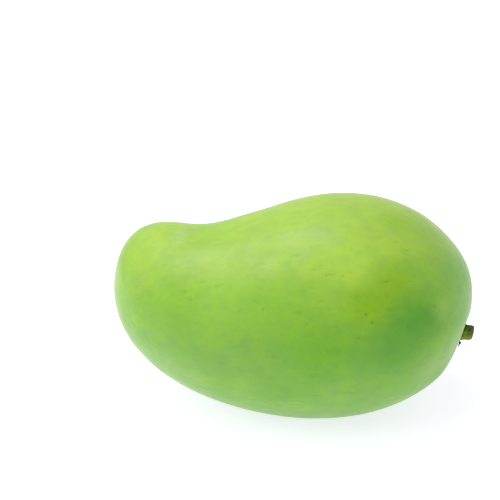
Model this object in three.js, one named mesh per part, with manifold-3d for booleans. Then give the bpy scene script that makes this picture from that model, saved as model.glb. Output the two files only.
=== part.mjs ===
// A green mango lying on its side, with the short stub of stalk that it was picked with.
//
// Millimetres, +Z up. The origin is the middle of the small flat spot that the fruit rests on.
// +X points along the fruit to its stem end. The belly, the side with the hollow near the tip,
// leans up and over towards +Y.
import * as THREE from "three";
import { mergeVertices } from "three/addons/utils/BufferGeometryUtils.js";
import Module from "manifold-3d";

// The fruit. A place along it runs from -1 at the tip to 1 at the stem end. The belly and the back
// are given as half-heights: the outline stands its half-height times sqrt(1 - place * place) off the
// long axis, as on an ellipse, so both ends close round.
const LENGTH = 140;
const BELLY_PLACES = [-1, -0.75, -0.5, -0.2, 0.2, 0.6, 1];
const BELLY = [54, 38, 27.5, 30, 38, 42, 40.5];
const BACK_PLACES = [-1, -0.5, 0, 0.5, 1];
const BACK = [47.5, 49, 51.5, 55.5, 61.5];
// How thick a cross-section is, side to side, for each millimetre of its height.
const THICKNESS_PLACES = [-1, 0, 1];
const THICKNESS = [1.08, 0.92, 0.88];

// How it lies: the belly's lean above level, and the slice that the flat spot takes off.
const LEAN_DEGREES = 36;
const REST_SLICE = 1;

// The stalk's seat: its place along the fruit, and its turn round it, counted from the belly.
const SEAT_PLACE = 0.957;
const SEAT_TURN_DEGREES = 205;
// How far the stalk bends from square to the skin (0) towards straight along the fruit (1).
const STALK_BEND = 0.25;
const CUP_DEPTH = 0.8;
const CUP_RADIUS = 6;

// The stub of stalk: heights along it are counted from the skin. The collar's foot stands clear of it.
const ROOT_DEPTH = 2;
const ROOT_RADIUS = 2.1;
const COLLAR_FOOT = 0.5;
const COLLAR_HEIGHT = 0.85;
const COLLAR_RADIUS = 3.2;
const NECK_HEIGHT = 1.8;
const NECK_RADIUS = 2.6;
const KNUCKLE_HEIGHT = 2.7;
const KNUCKLE_RADIUS = 2.75;
const STUB_LENGTH = 4.2;
const STUB_RADIUS = 2.4;
const CUT_EDGE = 0.3;
const CUT_SLANT = 0.12;
// How far the stub is from round: a share of its radius, for each number of lobes.
const LOBES = { 2: 0.05, 5: 0.03 };

// The dried scrap of sepal at the stub's foot. Its edges bow out to the shoulder, a share of its length.
const SEPAL_LENGTH = 3.6;
const SEPAL_WIDTH = 1.6;
const SEPAL_SHOULDER = 0.7;
const SEPAL_THICKNESS = 0.6;
const SEPAL_DROOP_DEGREES = 6;
const SEPAL_TURN_DEGREES = 34;

// The gap between pieces that touch on the real fruit.
const GAP = 0.3;

// How finely round shapes are divided.
const STEPS_AROUND = 64;
const STEPS_ALONG = 44;
const STUB_STEPS_AROUND = 20;
const SEPAL_EDGE_STEPS = 5;

// Points closer than this are one point.
const SAME_POINT = 1e-4;

const SKIN_COLOUR = "#8fbe58";
const SKIN_ROUGHNESS = 0.5;
const STALK_COLOUR = "#5c5a2a";
const STALK_ROUGHNESS = 0.8;

const wasm = await Module();
wasm.setup();

// A closed geometry as a solid that can be cut and joined.
function solidOf(geometry) {
  const bare = geometry.clone();
  bare.deleteAttribute("normal");
  bare.deleteAttribute("uv");
  const merged = mergeVertices(bare, SAME_POINT);
  return new wasm.Manifold(
    new wasm.Mesh({
      numProp: 3,
      vertProperties: merged.attributes.position.array,
      triVerts: new Uint32Array(merged.index.array),
    }),
  );
}

function geometryOf(solid) {
  const mesh = solid.getMesh();
  const geometry = new THREE.BufferGeometry();
  geometry.setAttribute("position", new THREE.BufferAttribute(mesh.vertProperties, 3));
  geometry.setIndex(new THREE.BufferAttribute(mesh.triVerts, 1));
  geometry.computeVertexNormals();
  return geometry;
}

// Moves each vertex of a geometry to the point that a rule gives for it.
function reshape(geometry, rule) {
  const positions = geometry.attributes.position;
  const point = new THREE.Vector3();
  for (let i = 0; i < positions.count; i++) {
    rule(point.fromBufferAttribute(positions, i));
    positions.setXYZ(i, point.x, point.y, point.z);
  }
  return geometry;
}

// A smooth curve through values given at places.
function smooth(places, values) {
  const curve = new THREE.CubicInterpolant(places, values, 1);
  return (place) => curve.evaluate(place)[0];
}

const belly = smooth(BELLY_PLACES, BELLY);
const back = smooth(BACK_PLACES, BACK);
const thickness = smooth(THICKNESS_PLACES, THICKNESS);

// Moves a point of the unit sphere to the fruit's skin, in the fruit's own frame: X along the fruit,
// Y to the belly, Z across its thickness. The cup round the stalk isn't in it yet.
function toSkin(point) {
  const { x: place, y: toBelly, z: across } = point;
  const closing = Math.sqrt(Math.max(0, 1 - place * place));
  const middle = (belly(place) - back(place)) / 2;
  const half = (belly(place) + back(place)) / 2;
  return point.set(
    (LENGTH / 2) * place,
    middle * closing + half * toBelly,
    half * thickness(place) * across,
  );
}

// The point of the unit sphere at a place along the fruit and a turn round it from the belly.
function onSphere(place, turn) {
  const closing = Math.sqrt(1 - place * place);
  return new THREE.Vector3(place, closing * Math.cos(turn), closing * Math.sin(turn));
}

// Where the stalk leaves the skin, and which way.
function seatOfStalk() {
  const turn = THREE.MathUtils.degToRad(SEAT_TURN_DEGREES);
  const step = 1e-3;
  const seat = toSkin(onSphere(SEAT_PLACE, turn));
  const along = toSkin(onSphere(SEAT_PLACE + step, turn)).sub(seat);
  const around = toSkin(onSphere(SEAT_PLACE, turn + step)).sub(seat);
  const outward = along.cross(around).normalize();
  outward.multiplyScalar(Math.sign(outward.x));
  const axis = outward.lerp(new THREE.Vector3(1, 0, 0), STALK_BEND).normalize();
  return { point: seat.addScaledVector(axis, -CUP_DEPTH), axis };
}

const seat = seatOfStalk();

// The stalk's own frame in the fruit's frame: the skin at its origin, its length along Y.
const seatFrame = new THREE.Matrix4().compose(
  seat.point,
  new THREE.Quaternion().setFromUnitVectors(new THREE.Vector3(0, 1, 0), seat.axis),
  new THREE.Vector3(1, 1, 1),
);

// Presses the shallow cup round the stalk into a point of the skin, at the stem end only.
function pressCup(point) {
  const fromSeat = point.clone().sub(seat.point);
  const offAxis = fromSeat.addScaledVector(seat.axis, -fromSeat.dot(seat.axis)).length();
  const press = point.x > 0 ? CUP_DEPTH * Math.exp(-((offAxis / CUP_RADIUS) ** 2)) : 0;
  return point.addScaledVector(seat.axis, -press);
}

function skinBlank() {
  const sphere = new THREE.SphereGeometry(1, STEPS_AROUND, STEPS_ALONG);
  sphere.rotateZ(-Math.PI / 2);
  return reshape(sphere, (point) => pressCup(toSkin(point)));
}

// The blind hole that the stalk's root sits in.
function stalkWell() {
  const height = 2 * (ROOT_DEPTH + GAP);
  const radius = ROOT_RADIUS * (1 + LOBES[2] + LOBES[5]) + GAP;
  return new THREE.CylinderGeometry(radius, radius, height, STUB_STEPS_AROUND).applyMatrix4(seatFrame);
}

const lean = new THREE.Matrix4().makeRotationX(THREE.MathUtils.degToRad(LEAN_DEGREES));

// The space under the fruit as it lies, up to the flat spot's height, in the fruit's own frame.
function underRest(skin) {
  skin.computeBoundingBox();
  const restHeight = skin.boundingBox.min.z + REST_SLICE;
  const slab = new THREE.BoxGeometry(2 * LENGTH, 2 * LENGTH, LENGTH);
  return slab.translate(0, 0, restHeight - LENGTH / 2).applyMatrix4(lean.clone().invert());
}

function makeFruit() {
  const skin = skinBlank();
  const whole = solidOf(skin);
  const rested = whole.subtract(solidOf(underRest(skin.clone().applyMatrix4(lean))));
  return geometryOf(rested.subtract(solidOf(stalkWell())));
}

// The stub turned about its length, then pushed a little out of round and its end cut on a slant.
function makeStub() {
  const outline = [
    [0, -ROOT_DEPTH],
    [ROOT_RADIUS - CUT_EDGE, -ROOT_DEPTH],
    [ROOT_RADIUS, CUT_EDGE - ROOT_DEPTH],
    [ROOT_RADIUS, COLLAR_FOOT],
    [COLLAR_RADIUS - CUT_EDGE, COLLAR_FOOT],
    [COLLAR_RADIUS, COLLAR_HEIGHT],
    [(COLLAR_RADIUS + NECK_RADIUS) / 2, (COLLAR_HEIGHT + NECK_HEIGHT) / 2],
    [NECK_RADIUS, NECK_HEIGHT],
    [KNUCKLE_RADIUS, KNUCKLE_HEIGHT],
    [STUB_RADIUS, (KNUCKLE_HEIGHT + STUB_LENGTH) / 2],
    [STUB_RADIUS, STUB_LENGTH - CUT_EDGE],
    [STUB_RADIUS - CUT_EDGE, STUB_LENGTH],
    [0, STUB_LENGTH],
  ];
  const points = outline.map(([radius, height]) => new THREE.Vector2(radius, height));
  return reshape(new THREE.LatheGeometry(points, STUB_STEPS_AROUND), (point) => {
    const angle = Math.atan2(point.z, point.x);
    const lobed = 1 + LOBES[2] * Math.sin(2 * angle) + LOBES[5] * Math.sin(5 * angle);
    const slant = point.y > KNUCKLE_HEIGHT ? CUT_SLANT * point.x : 0;
    point.set(point.x * lobed, point.y + slant, point.z * lobed);
  });
}

// A pointed scrap that starts inside the collar and reaches out over the skin.
function makeSepal() {
  const half = SEPAL_WIDTH / 2;
  const blade = new THREE.Shape();
  blade.moveTo(0, -half);
  blade.quadraticCurveTo(SEPAL_LENGTH * SEPAL_SHOULDER, -half, SEPAL_LENGTH, 0);
  blade.quadraticCurveTo(SEPAL_LENGTH * SEPAL_SHOULDER, half, 0, half);
  blade.closePath();
  const sepal = new THREE.ExtrudeGeometry(blade, {
    depth: SEPAL_THICKNESS,
    bevelEnabled: false,
    curveSegments: SEPAL_EDGE_STEPS,
  });
  sepal.rotateX(-Math.PI / 2);
  sepal.rotateZ(THREE.MathUtils.degToRad(-SEPAL_DROOP_DEGREES));
  sepal.translate(COLLAR_RADIUS - SEPAL_WIDTH / 2, COLLAR_FOOT, 0);
  return sepal.rotateY(THREE.MathUtils.degToRad(SEPAL_TURN_DEGREES));
}

function makeStalk() {
  return geometryOf(solidOf(makeStub()).add(solidOf(makeSepal())));
}

function namedMesh(name, geometry, color, roughness) {
  const material = new THREE.MeshStandardMaterial({ color, roughness, metalness: 0 });
  const mesh = new THREE.Mesh(geometry, material);
  mesh.name = name;
  return mesh;
}

// The middle of the flat spot, in the frame of the leaning but not yet placed fruit.
function middleOfFlatSpot(fruit) {
  const laid = fruit.clone().applyMatrix4(lean);
  laid.computeBoundingBox();
  const lowest = laid.boundingBox.min.z;
  const spot = new THREE.Box3();
  reshape(laid, (point) => {
    if (point.z < lowest + SAME_POINT) spot.expandByPoint(point);
  });
  return spot.getCenter(new THREE.Vector3()).setZ(lowest);
}

const fruit = namedMesh("fruit", makeFruit(), SKIN_COLOUR, SKIN_ROUGHNESS);
const stalk = namedMesh("stem", makeStalk(), STALK_COLOUR, STALK_ROUGHNESS);
stalk.position.setFromMatrixPosition(seatFrame);
stalk.quaternion.setFromRotationMatrix(seatFrame);

const mango = new THREE.Group();
mango.add(fruit, stalk);
mango.rotation.x = THREE.MathUtils.degToRad(LEAN_DEGREES);
mango.position.copy(middleOfFlatSpot(fruit.geometry)).negate();

const part = new THREE.Group();
part.add(mango);

export default part;
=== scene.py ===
# %% [markdown]
# # A green mango
#
# The imported model of this mango is two plain solids: `fruit` and `stem`. This lesson dresses them. Every
# piece is added in metres in the model's own frame: X runs from the tip of the fruit to its stalk, Z is up,
# and the camera looks along Y. The fruit lies on a small flat spot at height 0.
#
# The frame is loaded first and never changed. The dressed fruit has to stay in it.

# %% Load the frame
import math

import bpy
from mathutils import Matrix, Quaternion, Vector


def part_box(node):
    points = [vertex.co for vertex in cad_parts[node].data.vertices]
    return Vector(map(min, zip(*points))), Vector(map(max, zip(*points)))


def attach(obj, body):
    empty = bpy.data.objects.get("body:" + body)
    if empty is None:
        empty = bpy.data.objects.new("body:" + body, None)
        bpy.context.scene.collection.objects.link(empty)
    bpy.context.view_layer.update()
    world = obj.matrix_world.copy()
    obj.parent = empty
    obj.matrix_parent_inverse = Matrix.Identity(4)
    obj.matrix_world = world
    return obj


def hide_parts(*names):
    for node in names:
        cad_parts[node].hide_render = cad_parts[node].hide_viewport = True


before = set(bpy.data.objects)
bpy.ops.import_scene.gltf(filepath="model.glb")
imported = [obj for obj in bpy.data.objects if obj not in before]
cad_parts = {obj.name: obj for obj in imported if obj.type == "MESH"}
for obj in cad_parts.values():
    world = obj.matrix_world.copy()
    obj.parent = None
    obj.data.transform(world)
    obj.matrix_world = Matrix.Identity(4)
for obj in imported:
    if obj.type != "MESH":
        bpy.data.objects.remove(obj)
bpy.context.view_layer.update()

MM = 0.001

# %% [markdown]
# ## Camera
#
# The fruit is seen from its side and a little from above, through a long lens, so its far side looks
# hardly smaller than its near side. A camera in Blender looks along its own -Z, so it is turned until that
# axis points at the place it aims at. The picture is also turned by a hair about that axis.

# %% Place the camera
CAMERA_PLACE = Vector((-8.92, -487.5, 302.1)) * MM
CAMERA_AIM = Vector((-26.10, 16.49, 58.66)) * MM
CAMERA_ROLL = math.radians(-0.9)
LENS_MM = 102.2
NEAREST_SEEN = 10 * MM

bpy.ops.object.select_all(action="DESELECT")
bpy.ops.object.camera_add(location=CAMERA_PLACE)
camera = bpy.context.active_object
camera.name = "camera"
level = (CAMERA_AIM - CAMERA_PLACE).to_track_quat("-Z", "Y")
camera.rotation_euler = (level @ Quaternion((0, 0, 1), CAMERA_ROLL)).to_euler()
camera.data.lens = LENS_MM
camera.data.clip_start = NEAREST_SEEN
bpy.context.scene.camera = camera
print("camera looks down by", round(math.degrees(math.pi / 2 - camera.rotation_euler.x), 1), "degrees")

# %% [markdown]
# ## Light
#
# The fruit lies in a white studio. Soft light comes from all round. A large lamp hangs nearly overhead, a
# little to the left, and makes the top of the fruit brightest, and a weak one stands at the left. Large
# lamps near by give soft shading with no hard highlight, which suits a skin with a waxy bloom.

# %% Light the studio
SKY_STRENGTH = 0.59
LAMPS = [  # name, direction it hangs in, power in watts
    ("top_lamp", (-0.30, 0.10, 1.00), 8.9),
    ("left_lamp", (-0.80, -0.30, 0.60), 2.5),
]
LAMP_DISTANCE, LAMP_SIZE = 1.05, 0.7
FRUIT_MIDDLE = Vector((0, 0, 40)) * MM

world = bpy.data.worlds.new("white studio")
world.use_nodes = True
world.node_tree.nodes["Background"].inputs["Color"].default_value = (1, 1, 1, 1)
world.node_tree.nodes["Background"].inputs["Strength"].default_value = SKY_STRENGTH
bpy.context.scene.world = world
bpy.context.scene.view_settings.view_transform = "Standard"

for name, direction, watts in LAMPS:
    hung = Vector(direction).normalized() * LAMP_DISTANCE
    bpy.ops.object.light_add(type="AREA", location=hung)
    lamp = bpy.context.active_object
    lamp.name = name
    lamp.rotation_euler = (FRUIT_MIDDLE - hung).to_track_quat("-Z", "Y").to_euler()
    lamp.data.shape = "DISK"
    lamp.data.size = LAMP_SIZE
    lamp.data.energy = watts
    print(name, "hangs at", [round(c / MM) for c in hung], "mm with", watts, "W")

# %% [markdown]
# ## Helpers
#
# An operator acts on whatever is selected, so each step says first what it works on. `work_on` takes one
# object. `pick` opens that object for editing with only those faces or corners selected that pass a test
# on their place. `finish_with` adds a modifier and applies it at once, so that the mesh itself is changed.

# %% Helpers for modelling
def work_on(obj):
    """Selects this object alone and makes it the active one."""
    if bpy.context.object and bpy.context.object.mode != "OBJECT":
        bpy.ops.object.mode_set(mode="OBJECT")
    bpy.ops.object.select_all(action="DESELECT")
    obj.select_set(True)
    bpy.context.view_layer.objects.active = obj


def pick(obj, part, test):
    """Opens obj for editing with only the parts selected whose place passes the test; returns how many."""
    work_on(obj)
    bpy.ops.object.mode_set(mode="EDIT")
    bpy.ops.mesh.select_mode(type=part)
    bpy.ops.mesh.select_all(action="DESELECT")
    bpy.ops.object.mode_set(mode="OBJECT")
    things = obj.data.polygons if part == "FACE" else obj.data.vertices
    for thing in things:
        thing.select = test(thing.center if part == "FACE" else thing.co)
    count = sum(thing.select for thing in things)
    bpy.ops.object.mode_set(mode="EDIT")
    return count


def finish_with(obj, kind, **settings):
    """Adds one modifier to obj, sets it and applies it."""
    modifier = obj.modifiers.new(kind, kind)
    for name, value in settings.items():
        setattr(modifier, name, value)
    work_on(obj)
    bpy.ops.object.modifier_apply(modifier=modifier.name)


# %% [markdown]
# ## Where the stalk sits
#
# The stalk leaves the fruit off the middle of its blunt end. Its foot and the direction it grows in are
# those of the solid stalk, and the cut end and the dried scrap of sepal are turned with it. These places
# guide both the skin round the stalk and the stalk itself.

# %% The frame of the stalk
SEAT = Vector((56.743, 0.213, 31.317)) * MM
GROWTH = Vector((0.96539, -0.11471, -0.23422))
TALL_SIDE = Vector((-0.21111, -0.87103, -0.44356))

stalk_frame = Matrix((TALL_SIDE, GROWTH.cross(TALL_SIDE), GROWTH)).transposed().to_4x4()
stalk_frame.translation = SEAT


def from_seat(place):
    """How far a place lies out along the stalk, and how far from the stalk's middle line."""
    step = place - SEAT
    along = step.dot(GROWTH)
    return along, (step - along * GROWTH).length


print("stalk grows out from", [round(c / MM, 1) for c in SEAT], "mm")

# %% [markdown]
# ## The form to follow
#
# The solid fruit has the right shape, but it has flat facets, and a round socket that its stalk stands in.
# A copy of it serves as a form to lay a smoother skin on: its loose triangles are merged, and the socket
# is taken out and closed, since skin grows right up to a real stalk. The copy is thrown away afterwards.

# %% Copy the solid fruit and close its socket
SOCKET_RADIUS = 2.6 * MM
SOCKET_DEPTH = 4 * MM
HAIR = 0.01 * MM  # corners closer than this count as being at the same place

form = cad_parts["fruit"].copy()
form.data = form.data.copy()
form.name = "form"
form.parent = None
bpy.context.scene.collection.objects.link(form)
work_on(form)
bpy.ops.object.mode_set(mode="EDIT")
bpy.ops.mesh.select_all(action="SELECT")
bpy.ops.mesh.remove_doubles(threshold=HAIR)


def in_socket(place):
    along, off = from_seat(place)
    return off < SOCKET_RADIUS and abs(along) < SOCKET_DEPTH


removed = pick(form, "FACE", in_socket)
bpy.ops.mesh.delete(type="FACE")
bpy.ops.mesh.select_mode(type="EDGE")
bpy.ops.mesh.select_all(action="DESELECT")
bpy.ops.mesh.select_non_manifold(extend=False, use_wire=False, use_multi_face=False)
bpy.ops.mesh.edge_face_add()
bpy.ops.object.mode_set(mode="OBJECT")
print("socket faces removed:", removed, "- faces left:", len(form.data.polygons))

# %% [markdown]
# ## The skin
#
# The skin of the fruit is one smooth closed surface. A sphere from the menu has poles where its faces
# crowd together, and they would show as creases at the tip. So a cube is divided evenly, rounded to a
# ball, stretched to the size of the fruit and shrunk onto the form. Its faces stay square and even.

# %% Round a cube and stretch it over the fruit
CUTS = 23
ROOM = 1.25  # how many times as large as the fruit the ball starts

low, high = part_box("fruit")
bpy.ops.object.select_all(action="DESELECT")
bpy.ops.mesh.primitive_cube_add(size=1)
skin = bpy.context.active_object
skin.name = "skin"
skin.data.name = "skin"
bpy.ops.object.mode_set(mode="EDIT")
bpy.ops.mesh.select_all(action="SELECT")
bpy.ops.mesh.subdivide(number_cuts=CUTS)
bpy.ops.transform.tosphere(value=1)
bpy.ops.object.mode_set(mode="OBJECT")
ball_radius = max(corner.co.length for corner in skin.data.vertices)
bpy.ops.object.mode_set(mode="EDIT")
bpy.ops.transform.resize(value=(high - low) * ROOM / (2 * ball_radius))
bpy.ops.transform.translate(value=(low + high) / 2)
bpy.ops.object.mode_set(mode="OBJECT")
print("ball of", len(skin.data.polygons), "faces round the fruit")

# %% [markdown]
# Now the ball is shrunk onto the form. The first time, each corner travels inwards along its own normal.
# After that, smoothing evens out the spacing and each corner moves to the nearest place on the form. Near
# the stalk the faces are halved, because the shallow cup round it is small.

# %% Shrink the ball onto the form
SEAT_AREA = 13 * MM
ROUNDS, PASSES = 3, 6

finish_with(
    skin, "SHRINKWRAP", target=form, wrap_method="PROJECT",
    use_negative_direction=True, use_positive_direction=False,
)
for _ in range(ROUNDS):
    finish_with(skin, "SMOOTH", factor=0.5, iterations=PASSES)
    finish_with(skin, "SHRINKWRAP", target=form, wrap_method="NEAREST_SURFACEPOINT")
near_seat = pick(skin, "FACE", lambda place: (place - SEAT).length < SEAT_AREA)
bpy.ops.mesh.subdivide(number_cuts=1)
bpy.ops.object.mode_set(mode="OBJECT")
finish_with(skin, "SHRINKWRAP", target=form, wrap_method="NEAREST_SURFACEPOINT")
print("faces halved near the stalk:", near_seat)

# %% [markdown]
# Subdivision turns the net of faces into a smooth surface, and draws it in by a hair, so it is then pushed
# out again evenly. The skin stays low round the stalk, is a little hollow in front of it and fuller under
# that. For such soft pushes each corner near the place gets a weight that fades out with its distance, and a
# Displace modifier moves it by that share.

# %% Smooth the skin and push it gently into shape
PLUMP = 0.35 * MM
PUSHES = [  # middle, reach and push in mm
    ((56.7, 0.2, 31.3), 9, -0.35), ((53.5, -11.5, 30.5), 13, -1.0),
    ((46.9, -12.7, 19.2), 14, 0.4), ((44.0, 21.0, 69.5), 14, 0.3), ((57.2, -5.0, 38.0), 8, -0.5),
]

finish_with(skin, "SUBSURF", levels=2)
finish_with(skin, "DISPLACE", strength=PLUMP, mid_level=0)
for middle, reach, push in PUSHES:
    group = skin.vertex_groups.new(name="push")
    for corner in skin.data.vertices:
        share = 1 - (corner.co / MM - Vector(middle)).length / reach
        if share > 0:
            group.add([corner.index], share * share * (3 - 2 * share), "REPLACE")
    finish_with(skin, "DISPLACE", strength=push * MM, mid_level=0, vertex_group=group.name)
    skin.vertex_groups.clear()
print("skin pushed in or out at", len(PUSHES), "places")

# %% [markdown]
# A real fruit is never quite even, so two cloudy patterns push the skin in and out by fractions of a
# millimetre: one in broad swells, one in small ones. Last, the lowest corners are pressed flat again at
# height 0, where the fruit lies.

# %% Give the skin its slight unevenness
SWELLS = [("broad_swells", 26 * MM, 0.45 * MM), ("small_swells", 7 * MM, 0.1 * MM)]
PRESSED = 0.2 * MM
SAMPLE = 7  # every seventh corner is enough to measure by

for name, size, depth in SWELLS:
    swell = bpy.data.textures.new(name, "CLOUDS")
    swell.noise_scale = size
    swell.noise_depth = 1
    finish_with(skin, "DISPLACE", texture=swell, texture_coords="LOCAL", strength=depth, mid_level=0.5)
pressed = pick(skin, "VERT", lambda place: place.z < PRESSED)
bpy.ops.transform.resize(value=(1, 1, 0), center_override=(0, 0, 0))
bpy.ops.mesh.select_all(action="SELECT")
bpy.ops.mesh.normals_make_consistent(inside=False)
bpy.ops.object.mode_set(mode="OBJECT")
bpy.ops.object.shade_smooth()
sample = list(skin.data.vertices)[::SAMPLE]
gaps = [(form.closest_point_on_mesh(corner.co)[1] - corner.co).length for corner in sample]
print("skin:", len(skin.data.polygons), "faces,", pressed, "corners pressed flat,",
      "farthest from the form:", round(max(gaps) / MM, 2), "mm")
bpy.data.objects.remove(form)

# %% [markdown]
# ## The stub of stalk
#
# The stalk was cut short. What is left is a stout woody peg: a root in the fruit, a collar that spreads over
# the skin, a slight waist, a knuckle where a side twig fell off, and the cut end. It is drawn up ring by
# ring from a round plate, the way clay is pulled: each ring is extruded from the last one and widened or
# narrowed.

# %% Draw up the stub ring by ring
STUB_SIDES = 30
RINGS = [  # height and radius in mm
    (-2.0, 2.0), (-0.6, 2.2), (-0.2, 2.8), (0.2, 3.2), (0.6, 3.4), (0.95, 3.32), (1.3, 3.14), (1.7, 3.04),
    (2.2, 3.0), (2.7, 3.05), (3.05, 3.08), (3.4, 3.0), (3.8, 2.86), (4.15, 2.76), (4.35, 2.58),
]
ROOT_HEIGHT, TOP_HEIGHT = RINGS[0][0], RINGS[-1][0]

bpy.ops.object.select_all(action="DESELECT")
bpy.ops.mesh.primitive_circle_add(
    vertices=STUB_SIDES, radius=RINGS[0][1] * MM, fill_type="NGON", location=(0, 0, ROOT_HEIGHT * MM)
)
stub = bpy.context.active_object
stub.name = "stub"
stub.data.name = "stub"
bpy.ops.object.transform_apply(location=True, rotation=False, scale=False)
bpy.ops.object.mode_set(mode="EDIT")
bpy.ops.mesh.select_mode(type="FACE")
bpy.ops.mesh.select_all(action="SELECT")
for (height, radius), (next_height, next_radius) in zip(RINGS, RINGS[1:]):
    bpy.ops.mesh.extrude_region_move(TRANSFORM_OT_translate={"value": (0, 0, (next_height - height) * MM)})
    bpy.ops.transform.resize(value=(next_radius / radius, next_radius / radius, 1))
bpy.ops.object.mode_set(mode="OBJECT")
print("stub:", len(stub.data.vertices), "corners in", len(RINGS), "rings")

# %% [markdown]
# No stalk is perfectly straight. Each ring is shifted a little more than the one below, so that the peg
# leans. The rings stay round here, and the bark gets its lumps further on.

# %% Let the stub lean
ROOT_AT = Vector((0.56, 0.38))  # where the lowest ring goes, in mm from the middle of the seat
LEAN = Vector((-0.137, -0.092))  # how far a ring moves for each mm of height

for height, _ in RINGS:
    pick(stub, "VERT", lambda place, height=height: abs(place.z - height * MM) < HAIR)
    shift = ROOT_AT + LEAN * (height - ROOT_HEIGHT)
    bpy.ops.transform.translate(value=(shift.x * MM, shift.y * MM, 0))
bpy.ops.object.mode_set(mode="OBJECT")
print("the end of the stub is shifted by", [round(c, 2) for c in shift], "mm")

# %% [markdown]
# The cut end has dried, so it is dished: three insets take its edge inwards and down, and leave the pith
# standing a little in the middle. The top is then tilted, since the cut is never quite square.

# %% Dish the cut end and tilt it
DISH = [(0.3, 0.12), (0.7, 0.1), (0.6, -0.06)]  # inwards and down in mm
CUT_TILT = math.radians(3)
CUT_FROM = 2.8 * MM

pick(stub, "FACE", lambda place: place.z > TOP_HEIGHT * MM - HAIR)
for inwards, down in DISH:
    bpy.ops.mesh.inset(thickness=inwards * MM, depth=-down * MM)
pick(stub, "VERT", lambda place: place.z > CUT_FROM)
bpy.ops.transform.rotate(value=CUT_TILT, orient_axis="Y", center_override=(0, 0, CUT_FROM))
bpy.ops.object.mode_set(mode="OBJECT")
sides = {side: max(c.co.z for c in stub.data.vertices if c.co.x * side > 0) for side in (-1, 1)}
print("top of the stub on its tall and short side in mm:", [round(sides[s] / MM, 2) for s in (1, -1)])

# %% [markdown]
# Subdivision rounds the rings, a fine cloudy push roughens the bark, and the stub is turned into its seat.
# Its object is then put back at the origin, so that its place is in its mesh, as it is for the solids.

# %% Round and roughen the stub, and seat it
LUMP_SIZE, LUMP_HEIGHT = 0.9 * MM, 0.14 * MM

finish_with(stub, "SUBSURF", levels=2)
bark = bpy.data.textures.new("bark_lumps", "CLOUDS")
bark.noise_scale = LUMP_SIZE
finish_with(stub, "DISPLACE", texture=bark, texture_coords="LOCAL", strength=LUMP_HEIGHT, mid_level=0.5)


def seat_piece(obj):
    """Turns a piece made upright at the origin into the stalk's seat, and keeps the place in its mesh."""
    obj.matrix_world = stalk_frame
    work_on(obj)
    bpy.ops.object.transform_apply(location=True, rotation=True, scale=True)
    bpy.ops.object.mode_set(mode="EDIT")
    bpy.ops.mesh.select_all(action="SELECT")
    bpy.ops.mesh.normals_make_consistent(inside=False)
    bpy.ops.object.mode_set(mode="OBJECT")
    bpy.ops.object.shade_smooth()


seat_piece(stub)
print("stub:", len(stub.data.polygons), "faces")

# %% [markdown]
# ## The scrap of sepal
#
# Under the collar one sepal of the flower has stayed on and dried black. It is a narrow neck, a curled
# blade and a thin tail. A small grid is shaped row by row: each row gets its width, its height over the
# skin, and the lift of its two edges, which makes the gutter of a dried leaf. Solidify gives it thickness.

# %% Shape the dried sepal
SEPAL_TURN = math.radians(34)
SEPAL_START, SEPAL_STEP = 2.6, 0.46  # from the middle of the stalk to the first row, and on to each next
SEPAL_THICKNESS = 0.38 * MM
SEPAL_ROWS = [  # half width, height and lift of the edges in mm, from the collar to the tail
    (0.45, 0.45, 0.00), (0.22, 0.15, 0.00), (0.14, -0.05, 0.00), (0.34, -0.10, 0.54), (0.62, -0.13, 1.12),
    (0.60, -0.10, 1.02), (0.36, 0.12, 0.46), (0.15, 0.30, 0.00), (0.08, 0.36, 0.00),
]

bpy.ops.object.select_all(action="DESELECT")
bpy.ops.mesh.primitive_grid_add(x_subdivisions=len(SEPAL_ROWS) - 1, y_subdivisions=2, size=2)
sepal = bpy.context.active_object
sepal.name = "sepal"
sepal.data.name = "sepal"
length = SEPAL_STEP * (len(SEPAL_ROWS) - 1)
bpy.ops.object.mode_set(mode="EDIT")
bpy.ops.mesh.select_all(action="SELECT")
bpy.ops.transform.resize(value=(length / 2 * MM, MM, MM))
bpy.ops.transform.translate(value=((SEPAL_START + length / 2) * MM, 0, 0))
for row, (half_width, height, lift) in enumerate(SEPAL_ROWS):
    out = (SEPAL_START + row * SEPAL_STEP) * MM
    pick(sepal, "VERT", lambda place, out=out: abs(place.x - out) < HAIR)
    bpy.ops.transform.resize(value=(1, half_width, 1), center_override=(out, 0, 0))
    bpy.ops.transform.translate(value=(0, 0, height * MM))
    pick(sepal, "VERT", lambda place, out=out: abs(place.x - out) < HAIR and abs(place.y) > HAIR)
    bpy.ops.transform.translate(value=(0, 0, lift * MM))
bpy.ops.object.mode_set(mode="OBJECT")
finish_with(sepal, "SOLIDIFY", thickness=SEPAL_THICKNESS, offset=0)
finish_with(sepal, "SUBSURF", levels=2)
sepal.rotation_euler = (0, 0, SEPAL_TURN)
work_on(sepal)
bpy.ops.object.transform_apply(location=False, rotation=True, scale=False)
seat_piece(sepal)
print("sepal:", len(sepal.data.polygons), "faces")

# %% [markdown]
# ## Helpers for materials
#
# A material is a small recipe of nodes. `new_finish` starts one and gives places in millimetres, read from
# the Object coordinates, so a pattern stays on the fruit from every side. `put` adds a node and wires it.
# The others are the few ingredients used again and again: smooth steps, clouds, sums, nearness, ruffled
# places, tints and dots.

# %% Helpers for materials
def new_finish(name):
    """A new material: its tree, its surface shader and the place in mm."""
    finish = bpy.data.materials.new(name)
    finish.use_nodes = True
    tree = finish.node_tree
    place = put(tree, "TexCoord").outputs["Object"]
    in_mm = put(tree, "Mapping", {"Vector": place, "Scale": (1 / MM,) * 3}).outputs["Vector"]
    return finish, tree, tree.nodes["Principled BSDF"], in_mm


def put(tree, kind, feeds=None, **settings):
    """Adds a shader node; each feed is a socket to wire in or a value to set."""
    made = tree.nodes.new("ShaderNode" + kind)
    for name, value in settings.items():
        setattr(made, name, value)
    for name, value in (feeds or {}).items():
        wire(tree, made.inputs[name], value)
    return made


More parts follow.
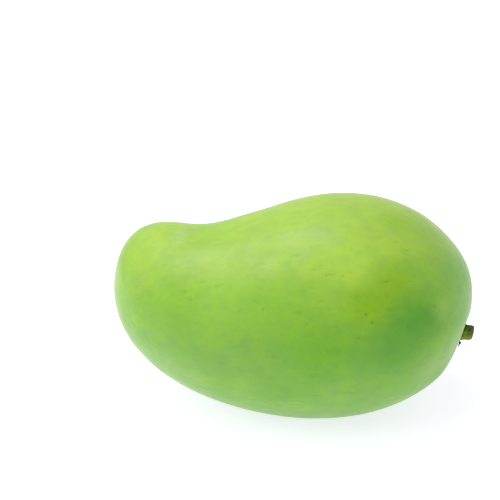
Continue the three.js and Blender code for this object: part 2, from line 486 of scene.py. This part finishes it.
def wire(tree, socket, value):
    """Wires another socket into this one, or sets its value."""
    if isinstance(value, bpy.types.NodeSocket):
        tree.links.new(value, socket)
    elif socket.type == "RGBA" and len(value) == 3:
        socket.default_value = (*value, 1)
    else:
        socket.default_value = value


def step(tree, value, start, end, low=0.0, high=1.0):
    """A smooth step from low to high while value goes from start to end."""
    feeds = {"Value": value, "From Min": start, "From Max": end, "To Min": low, "To Max": high}
    return put(tree, "MapRange", feeds, interpolation_type="SMOOTHSTEP").outputs["Result"]


def clouds(tree, place, size, seed=0.0):
    """Soft noise from 0 to 1 in blotches of about that size in mm."""
    feeds = {"Vector": place, "Scale": 1 / size, "W": seed, "Detail": 2.0}
    fac = put(tree, "TexNoise", feeds, noise_dimensions="4D").outputs["Fac"]
    return step(tree, fac, 0.3, 0.7)


def calc(tree, kind, a, b):
    """One sum, product or other operation on two numbers."""
    made = put(tree, "Math", operation=kind)
    wire(tree, made.inputs[0], a)
    wire(tree, made.inputs[1], b)
    return made.outputs["Value"]


def nearness(tree, place, middle, reach, core=0.0):
    """1 in the core of an oval patch, falling smoothly to 0 at its reach on each axis, in mm."""
    feeds = {"Vector": place, "Location": middle, "Scale": reach}
    local = put(tree, "Mapping", feeds, vector_type="TEXTURE").outputs["Vector"]
    far = put(tree, "VectorMath", {0: local}, operation="LENGTH").outputs["Value"]
    return step(tree, far, core, 1.0, 1.0, 0.0)


def ruffled(tree, place, moved, size):
    """The moved place pushed about by soft noise of that size, which makes round patterns uneven."""
    noise = put(tree, "TexNoise", {"Vector": place, "Scale": 1 / size, "Detail": 1.0}).outputs["Color"]
    push = put(tree, "VectorMath", {0: noise, 1: (0.5,) * 3}, operation="SUBTRACT").outputs["Vector"]
    made = put(tree, "VectorMath", {0: push, 1: (size,) * 3, 2: moved}, operation="MULTIPLY_ADD")
    return made.outputs["Vector"]


def tint(tree, share, base, other):
    """Mixes other into base by that share. A Mix node keeps its sockets for colours at places 6, 7 and 2."""
    made = put(tree, "Mix", data_type="RGBA")
    wire(tree, made.inputs[0], share)
    wire(tree, made.inputs[6], base)
    wire(tree, made.inputs[7], other)
    return made.outputs[2]


def dots(tree, place, spacing, radius, soft, strengths):
    """Small round dots in a random scatter, each as strong as its own random number makes it."""
    cells = put(tree, "TexVoronoi", {"Vector": place, "Scale": 1 / spacing})
    size = radius / spacing
    inside = step(tree, cells.outputs["Distance"], size, size * (1 - soft))
    chance = put(tree, "SeparateColor", {0: cells.outputs["Color"]}).outputs[0]
    return calc(tree, "MULTIPLY", inside, step(tree, chance, *strengths))


# %% [markdown]
# ## The finish of the skin
#
# The skin of an unripe mango is a clear leaf green. It is paler on top, darker and bluer below and
# yellow-green at the tip. The paler top is partly the skin's own yellower green and partly painted light from
# above, and the darker, bluer underside is partly its own colour and partly painted shade. These three long
# gradients follow height and length, and a slow cloud shifts them, so that they don't run as straight bands.
# Colours are given as amounts of red, green and blue light from 0 to 1.

# %% The colour of the skin: long gradients
LEAF_GREEN = (0.200, 0.413, 0.026)
# partly painted light: the top is paler partly because light falls on it from above
TOP_GREEN_AND_PAINTED_LIGHT = (0.268, 0.430, 0.040)
# partly painted shade: the underside is darker and bluer partly because less light reaches it
LOW_GREEN_AND_PAINTED_SHADE = (0.175, 0.387, 0.043)
TIP_GREEN = (0.188, 0.355, 0.001)
GRADIENTS = [  # axis, where the colour starts and where it is full in mm, colour
    ("Z", 62, 86, TOP_GREEN_AND_PAINTED_LIGHT), ("Z", 66, 36, LOW_GREEN_AND_PAINTED_SHADE), ("X", -58, -74, TIP_GREEN),
]
DRIFT_SIZE, DRIFT = 24, 12  # in mm

skin_finish, tree, surface, place = new_finish("green_mango_skin")
spot = put(tree, "SeparateXYZ", {0: place})
drift = calc(tree, "MULTIPLY", clouds(tree, place, DRIFT_SIZE, seed=3), DRIFT)
drifted = {axis: calc(tree, "ADD", spot.outputs[axis], drift) for axis in "XZ"}
colour = LEAF_GREEN
for axis, start, end, green in GRADIENTS:
    colour = tint(tree, step(tree, drifted[axis], start, end), colour, green)
print("long gradients:", len(tree.nodes), "nodes")

# %% [markdown]
# Over the gradients lie large soft patches. High on the front lies a bright cheek, partly the skin's own
# paler green and partly painted light from the lamp above, with a small olive patch beside it and deep bluish
# green below that. Two pale patches on the lower edge are painted reflection of the white floor, and two
# small pale patches on top are painted highlights of the lamps. Each patch is an oval that fades out to
# nothing. The far side, which nobody has seen, gets a few of the same kind, so that the fruit is finished all
# round. The green round the stalk goes over them, as the last of the long gradients.

# %% The colour of the skin: large patches
PATCHES = [  # middle and reach in mm, colour
    ((-42, -15, 69), (28, 14, 12), (0.257, 0.417, 0.056)),
    ((2, -38, 43), (28, 16, 20), (0.141, 0.379, 0.013)),
    # partly painted light: the bright cheek is partly the skin's own paler green and partly light from the
    # lamp above
    ((12, -21, 70), (22, 18, 18), (0.294, 0.480, 0.042)),
    ((30, -24, 64), (18, 16, 14), (0.195, 0.376, 0.001)),
    ((43, -17, 61), (24, 20, 20), (0.193, 0.402, 0.034)),
    ((27, -34, 42), (22, 16, 18), (0.106, 0.330, 0.018)),
    ((36, -27, 51), (24, 18, 15), (0.085, 0.310, 0.014)),
    ((-64, -12, 62), (14, 12, 12), (0.250, 0.417, 0.043)),
    ((-17, -20, 70), (8, 8, 8), (0.298, 0.470, 0.060)),
    # painted reflection: a pale patch on the lower right edge stands for the white floor reflected in the
    # skin
    ((44, -25, 30), (12, 11, 9), (0.235, 0.420, 0.085)),
    ((47, -19, 52), (9, 9, 8), (0.220, 0.450, 0.050)),
    ((-11, -36, 25), (20, 9, 8), (0.142, 0.352, 0.029)),
    # painted reflection: a pale patch on the lower left edge stands for the white floor reflected in the skin
    ((-50, -22, 28), (24, 14, 13), (0.218, 0.405, 0.066)),
    ((18, -32, 59), (15, 12, 12), (0.198, 0.408, 0.001)),
    ((-38, -28, 56), (22, 16, 14), (0.206, 0.414, 0.042)),
    # painted highlight: a pale streak where a lamp's reflection shows near the tip
    ((-52, 0, 72), (5, 10, 7), (0.285, 0.447, 0.110)),
    # painted highlight: a pale whitish patch on top where the lamp's highlight falls
    ((-2, -10, 77), (16, 8, 6), (0.275, 0.432, 0.080)),
    ((30, 0, 78), (14, 10, 8), (0.225, 0.400, 0.018)),
    ((25, 40, 62), (30, 18, 20), (0.280, 0.465, 0.030)),
    ((-28, 38, 50), (30, 18, 24), (0.150, 0.390, 0.018)),
    ((48, 25, 45), (18, 20, 22), (0.110, 0.350, 0.018)),
]
STALK_GREEN = (0.174, 0.410, 0.042)
STALK_END = (52, 68)  # where that green starts and where it is full in mm, along the fruit

for middle, reach, patch in PATCHES:
    colour = tint(tree, nearness(tree, place, middle, reach), colour, patch)
colour = tint(tree, step(tree, drifted["X"], *STALK_END), colour, STALK_GREEN)
print("patches:", len(PATCHES))

# %% [markdown]
# Faint clouds in three sizes vary the green. They change the lightness a little, and the hue more: where a
# cloud is light it is also yellower. The clouds are stretched along the fruit, as the skin grew that way.

# %% The colour of the skin: mottling
CLOUD_SIZES = [  # size in mm, then how far light, red and blue vary
    (20, 0.030, 0.010, 0.05), (6, 0.033, 0.018, 0.13), (2.2, 0.037, 0.016, 0.18),
]
GROWN = (0.75, 1, 1)

grown = put(tree, "Mapping", {"Vector": place, "Scale": GROWN}).outputs["Vector"]
for index, (size, light, red, blue) in enumerate(CLOUD_SIZES):
    share = clouds(tree, grown, size, seed=index + 10)
    dark = (1 - light - red, 1 - light, 1 - light + blue)
    pale = (1 + light + red, 1 + light, 1 + light - blue)
    made = put(tree, "VectorMath", {0: colour, 1: tint(tree, share, dark, pale)}, operation="MULTIPLY")
    colour = made.outputs["Vector"]
print("mottling in", len(CLOUD_SIZES), "sizes")

# %% [markdown]
# The pores are pale dots half a millimetre across, hardly to be seen. Here and there a dark fleck shows
# where the skin was rubbed, and many shallow dents run along the fruit. A few flecks and dashes are listed
# one by one, the others are scattered. All of them return in the relief further on.

# %% The colour of the skin: pores and flecks
PALE_PORE = (0.330, 0.560, 0.120)
FLECK = (0.045, 0.120, 0.002)
MARKS = [  # middle in mm, reach along the fruit, reach across it, strength
    ((17.3, -32.6, 56.3), 0.9, 0.8, 0.45), ((19.6, -33.5, 53.4), 1.0, 1.0, 0.42),
    ((6.6, -35.5, 53.0), 0.9, 0.8, 0.28), ((-4.0, -35.0, 54.0), 0.9, 0.8, 0.22),
    ((14.5, -36.0, 48.5), 1.0, 0.9, 0.24), ((43.0, -22.0, 54.1), 1.0, 1.0, 0.40),
    ((33.0, -11.9, 72.1), 2.6, 0.9, 0.22), ((1.1, -31.3, 61.2), 1.9, 0.8, 0.24),
    ((24.6, -24.3, 65.5), 1.9, 0.8, 0.30), ((-16.0, -37.5, 41.5), 1.5, 0.8, 0.38),
    ((2.9, -25.4, 68.4), 1.6, 0.9, 0.20), ((8.8, -25.3, 68.1), 1.5, 0.9, 0.28),
    ((11.5, -24.2, 69.0), 1.8, 0.7, 0.20), ((33.4, -21.6, 64.1), 2.0, 0.8, 0.20),
    ((24.8, -27.5, 61.3), 1.3, 1.7, 0.20), ((26.0, -30.2, 56.9), 1.8, 1.3, 0.20),
    ((-7.0, -33.1, 57.4), 2.4, 1.3, 0.20), ((-20.0, -31.2, 57.7), 1.0, 0.9, 0.28),
    ((-42.0, -20.8, 63.5), 2.2, 0.8, 0.25), ((-48.9, -22.1, 59.9), 1.3, 1.2, 0.38),
    ((-46.8, -24.3, 57.7), 1.2, 0.8, 0.28), ((57.1, -7.3, 43.3), 0.9, 1.0, 0.60),
    ((56.1, -9.7, 42.1), 1.1, 0.9, 0.60),
]
MARK_CORE = 0.2
RAGGED = 1.0
# Spacing and radius in mm, softness, then from and to which random number the strength runs between what.
PORES = (2.4, 0.38, 0.7, (0.1, 1.0, 0.05, 0.3))
FLECKS = (11.0, 0.6, 0.8, (0.4, 0.9, 0.0, 0.3))
DENTS = (3.2, 1.4, 0.9, (0.3, 1.0, 0.0, 1.0))
DENTS_STRETCHED = (0.45, 1, 1)
DENT_SWAY = 3.0
DENT_SHADE = 0.05

pore = dots(tree, place, *PORES)
colour = tint(tree, pore, colour, PALE_PORE)
fleck = dots(tree, place, *FLECKS)
stretched = put(tree, "Mapping", {"Vector": place, "Scale": DENTS_STRETCHED}).outputs["Vector"]
dent = dots(tree, ruffled(tree, place, stretched, DENT_SWAY), *DENTS)
fleck = calc(tree, "MAXIMUM", fleck, calc(tree, "MULTIPLY", dent, DENT_SHADE))
ragged = ruffled(tree, place, place, RAGGED)
for middle, length, width, strength in MARKS:
    near = nearness(tree, ragged, middle, (length, width, width), core=MARK_CORE)
    fleck = calc(tree, "MAXIMUM", fleck, calc(tree, "MULTIPLY", near, strength))
colour = tint(tree, fleck, colour, FLECK)
wire(tree, surface.inputs["Base Color"], colour)
print("skin with pores and", len(MARKS), "marks:", len(tree.nodes), "nodes")

# %% [markdown]
# The wax on the skin scatters light softly: the highlight is broad, and the edges of the fruit look pale,
# which sheen gives. A little light enters the skin and comes out near by, green. Two bumps follow: pores,
# flecks and a fine grain in the first, and the dents, which are deeper, in the second.

# %% The gloss and relief of the skin
GLOSS_SIZE, ROUGHNESS = 10, (0.48, 0.58)
GRAIN_SIZE, GRAIN_SHARE = 0.9, 0.35
PORE_DEPTH, DENT_DEPTH = 0.1 * MM, 0.13 * MM

surface.inputs["Specular IOR Level"].default_value = 0.33
surface.inputs["Sheen Weight"].default_value = 0.3
surface.inputs["Sheen Roughness"].default_value = 0.4
surface.inputs["Subsurface Weight"].default_value = 0.1
surface.inputs["Subsurface Radius"].default_value = (1.0, 1.0, 0.3)
surface.inputs["Subsurface Scale"].default_value = 2 * MM
gloss = clouds(tree, place, GLOSS_SIZE, seed=21)
wire(tree, surface.inputs["Roughness"], step(tree, gloss, 0, 1, *ROUGHNESS))
grain = clouds(tree, place, GRAIN_SIZE, seed=31)
relief = calc(tree, "ADD", calc(tree, "MULTIPLY", grain, GRAIN_SHARE), pore)
relief = calc(tree, "SUBTRACT", relief, fleck)
bump = put(tree, "Bump", {"Height": relief, "Strength": 0.25, "Distance": PORE_DEPTH})
feeds = {"Height": dent, "Strength": 1.0, "Distance": DENT_DEPTH, "Normal": bump.outputs["Normal"]}
bump = put(tree, "Bump", feeds, invert=True)
wire(tree, surface.inputs["Normal"], bump.outputs["Normal"])
skin.data.materials.append(skin_finish)
print("skin finish:", len(tree.nodes), "nodes")

# %% [markdown]
# ## The finish of the stalk
#
# The stub is woody but not yet dry. Its lower side is still olive, its upper side darker and its upper foot
# dark green. Grey-brown bark covers the top edge and the end, which has a dark pith in its middle. Fibres run
# along the stub, so the noise is stretched along it. A Mapping node turns the pattern into the stalk's own
# frame, and a dot product with a direction in that frame tells how far down a place lies.

# %% The colour and relief of the stub
FOOT_GREEN = (0.018, 0.060, 0.007)
OLIVE_STALK = (0.152, 0.200, 0.008)
DARK_OLIVE = (0.084, 0.136, 0.005)
BARK = (0.140, 0.134, 0.078)
CUT_WOOD = (0.170, 0.150, 0.080)
DARK_PITH = (0.060, 0.048, 0.030)
COATS = [  # what it follows, where the colour starts and where it is full in mm, colour
    ("under", -0.6, 2.4, OLIVE_STALK), ("under", -1.0, -2.3, BARK), ("height", 2.9, 4.3, BARK),
    ("foot", 0.5, -0.2, FOOT_GREEN),
]
CUT_SHOWS = (4.0, 4.2, 0.0, 0.6)  # from and to which height in mm, from and to which share
PITH_AT, PITH_SIZE, PITH_CORE = (-0.25, -0.2, 4.2), (1.0, 1.0, 0.8), 0.5
UNDER = (0.80, 0.54, 0.0)
FIBRES_STRETCHED = (1, 1, 0.18)
STRAND_SIZE, PATCH_SIZE = 0.45, 1.4
UNDER_DRIFT, HEIGHT_DRIFT = 0.8, 0.5

stub_finish, tree, surface, place = new_finish("woody_stalk")
feeds = {"Vector": place, "Location": SEAT / MM, "Rotation": stalk_frame.to_euler()}
upright = put(tree, "Mapping", feeds, vector_type="TEXTURE").outputs["Vector"]
spot = put(tree, "SeparateXYZ", {0: upright})
fibres = put(tree, "Mapping", {"Vector": upright, "Scale": FIBRES_STRETCHED}).outputs["Vector"]
strands = clouds(tree, fibres, STRAND_SIZE, seed=2)
patches = clouds(tree, upright, PATCH_SIZE, seed=5)
under = put(tree, "VectorMath", {0: upright, 1: UNDER}, operation="DOT_PRODUCT").outputs["Value"]
under = calc(tree, "ADD", under, calc(tree, "MULTIPLY", patches, UNDER_DRIFT))
height = calc(tree, "ADD", spot.outputs["Z"], calc(tree, "MULTIPLY", patches, HEIGHT_DRIFT))
follows = {"under": under, "height": height, "foot": calc(tree, "ADD", height, under)}
colour = DARK_OLIVE
for name, start, end, coat in COATS:
    colour = tint(tree, step(tree, follows[name], start, end), colour, coat)
colour = tint(tree, step(tree, spot.outputs["Z"], *CUT_SHOWS), colour, CUT_WOOD)
colour = tint(tree, nearness(tree, upright, PITH_AT, PITH_SIZE, core=PITH_CORE), colour, DARK_PITH)
made = put(tree, "VectorMath", {0: colour}, operation="SCALE")
wire(tree, made.inputs["Scale"], step(tree, strands, 0, 1, 0.7, 1.3))
wire(tree, surface.inputs["Base Color"], made.outputs["Vector"])
surface.inputs["Specular IOR Level"].default_value = 0.2
wire(tree, surface.inputs["Roughness"], step(tree, strands, 0, 1, 0.6, 0.85))
bump = put(tree, "Bump", {"Height": strands, "Strength": 0.6, "Distance": 0.15 * MM})
wire(tree, surface.inputs["Normal"], bump.outputs["Normal"])
stub.data.materials.append(stub_finish)
print("stalk finish:", len(tree.nodes), "nodes")

# %% [markdown]
# The sepal is as thin as paper and nearly black. It has a faint brown grain and no gloss.

# %% The finish of the sepal
DRY_BLACK = (0.005, 0.005, 0.004)
DRY_BROWN = (0.020, 0.017, 0.010)
BLOTCH_SIZE, DULL_SIZE, CRUMPLE_SIZE = 0.5, 0.3, 0.25

sepal_finish, tree, surface, place = new_finish("dried_sepal")
wire(tree, surface.inputs["Base Color"], tint(tree, clouds(tree, place, BLOTCH_SIZE), DRY_BLACK, DRY_BROWN))
surface.inputs["Specular IOR Level"].default_value = 0.1
wire(tree, surface.inputs["Roughness"], step(tree, clouds(tree, place, DULL_SIZE, seed=4), 0, 1, 0.7, 0.9))
crumple = clouds(tree, place, CRUMPLE_SIZE, seed=8)
bump = put(tree, "Bump", {"Height": crumple, "Strength": 0.5, "Distance": 0.1 * MM})
wire(tree, surface.inputs["Normal"], bump.outputs["Normal"])
sepal.data.materials.append(sepal_finish)
print("sepal finish:", len(tree.nodes), "nodes")

# %% [markdown]
# ## The floor
#
# The fruit lies on a plain white surface, large enough for its edge to be far away. It glows a little
# itself. That keeps the open floor white, lets it throw light back on the underside of the fruit, and leaves
# only a faint shadow beneath it.

# %% Lay the floor
FLOOR_SIZE = 40  # in metres
FLOOR_GLOW = 0.67
FLOOR_COOL = (0.97, 0.91, 1.06)
FLOOR_WHITE = (0.66, 0.68, 0.70)

bpy.ops.object.select_all(action="DESELECT")
bpy.ops.mesh.primitive_plane_add(size=FLOOR_SIZE)
floor = bpy.context.active_object
floor.name = "floor"
floor_finish, tree, surface, place = new_finish("white_floor")
wire(tree, surface.inputs["Base Color"], FLOOR_WHITE)
wire(tree, surface.inputs["Emission Color"], FLOOR_COOL)
surface.inputs["Emission Strength"].default_value = FLOOR_GLOW
surface.inputs["Specular IOR Level"].default_value = 0
surface.inputs["Roughness"].default_value = 1
floor.data.materials.append(floor_finish)
print("floor laid at height 0")

# %% [markdown]
# ## Tie the pieces to the frame
#
# Each piece rides on the one body of the model, and the solid it stands for is hidden.

# %% Tie the pieces to the frame
for piece, node, slot in [(skin, "fruit", "skin"), (stub, "stem", "stalk"), (sepal, "stem", "stalk")]:
    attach(piece, "root")
    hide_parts(node)
